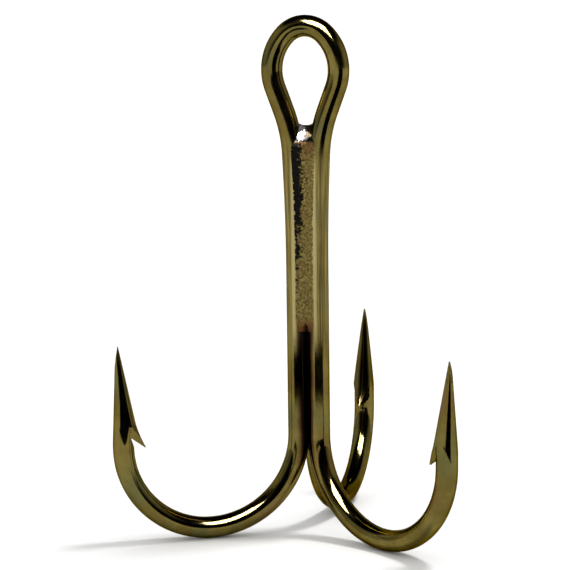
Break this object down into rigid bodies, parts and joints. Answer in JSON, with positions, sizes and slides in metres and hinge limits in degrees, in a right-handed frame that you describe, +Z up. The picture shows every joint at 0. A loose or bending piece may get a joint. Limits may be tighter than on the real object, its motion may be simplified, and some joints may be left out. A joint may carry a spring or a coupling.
{
  "type": "treble hook",
  "caption": "Barbed treble fishing hook of plated round wire: an eyed double hook and a single hook, brazed together along their shanks, to hang on a lure or line.",
  "frame": {"origin": "centre of the eye, in the middle of the wire's thickness", "axes": "+Z up the shanks towards the eye's crown, +Y through the eye's hole towards the side where the single hook lies, +X along the eye's width"},
  "size_m": [0.0328, 0.0287, 0.0487],
  "materials": {
    "wire": "polished",
    "braze": "satin"
  },
  "bodies": {
    "root": {"double_hook": "wire", "single_hook": "wire", "front_braze_seam": "braze", "left_braze_seam": "braze", "right_braze_seam": "braze", "core_braze": "braze"}
  },
  "joints": []
}
